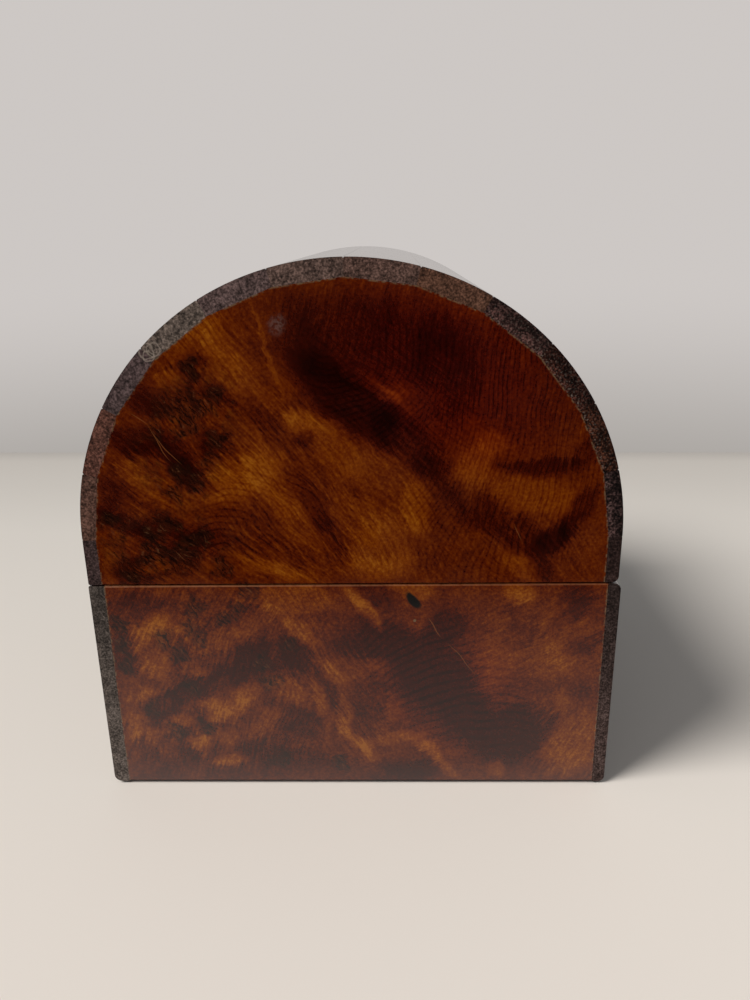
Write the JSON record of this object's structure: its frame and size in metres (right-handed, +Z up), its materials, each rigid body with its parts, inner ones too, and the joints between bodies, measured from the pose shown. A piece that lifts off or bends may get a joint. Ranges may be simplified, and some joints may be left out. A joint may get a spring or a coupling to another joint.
{
  "type": "tambour lid box",
  "caption": "Small hinged keepsake box with a half-round lid of glued tambour slats between arched burl end boards.",
  "frame": {"origin": "under the middle of the box, on the surface that it stands on", "axes": "+X from the opening edge to the hinged edge, +Y along the slats, +Z up"},
  "size_m": [0.12, 0.12, 0.124],
  "materials": {
    "burl": "glossy varnish over figured burl",
    "dark_wood": "dark stained, polished face and dull end grain",
    "plain_wood": "planed and unvarnished",
    "canvas": "plain woven canvas",
    "felt": "felt",
    "baize": "baize",
    "hinge_brass": "dulled brass"
  },
  "bodies": {
    "base": {"base_end_near": "burl", "base_end_far": "burl", "base_front_board": "dark_wood", "base_back_board": "dark_wood", "base_floor_board": "plain_wood", "base_hinge_batten": "plain_wood", "base_floor_lining": "felt", "base_foot_baize": "baize", "hinge_base_leaf_near": "hinge_brass", "hinge_base_leaf_far": "hinge_brass", "hinge_pin_near": "hinge_brass", "hinge_pin_far": "hinge_brass", "hinge_base_screws": "hinge_brass"},
    "lid": {"lid_end_near": "burl", "lid_end_far": "burl", "lid_front_rail": "dark_wood", "lid_back_rail": "dark_wood", "lid_hinge_batten": "plain_wood", "lid_canvas_backing": "canvas", "lid_slat_01": "dark_wood", "lid_slat_02": "dark_wood", "lid_slat_03": "dark_wood", "lid_slat_04": "dark_wood", "lid_slat_05": "dark_wood", "lid_slat_06": "dark_wood", "lid_slat_07": "dark_wood", "lid_slat_08": "dark_wood", "lid_slat_09": "dark_wood", "lid_slat_10": "dark_wood", "lid_slat_11": "dark_wood", "lid_slat_12": "dark_wood", "hinge_lid_leaf_near": "hinge_brass", "hinge_lid_leaf_far": "hinge_brass", "hinge_lid_screws": "hinge_brass"}
  },
  "joints": [
    {"name": "lid_hinge", "type": "hinge", "parent": "base", "child": "lid", "pos_m": [0.0588, 0, 0.05345], "axis": [0, 1, 0], "range_deg": [0, 105]}
  ]
}
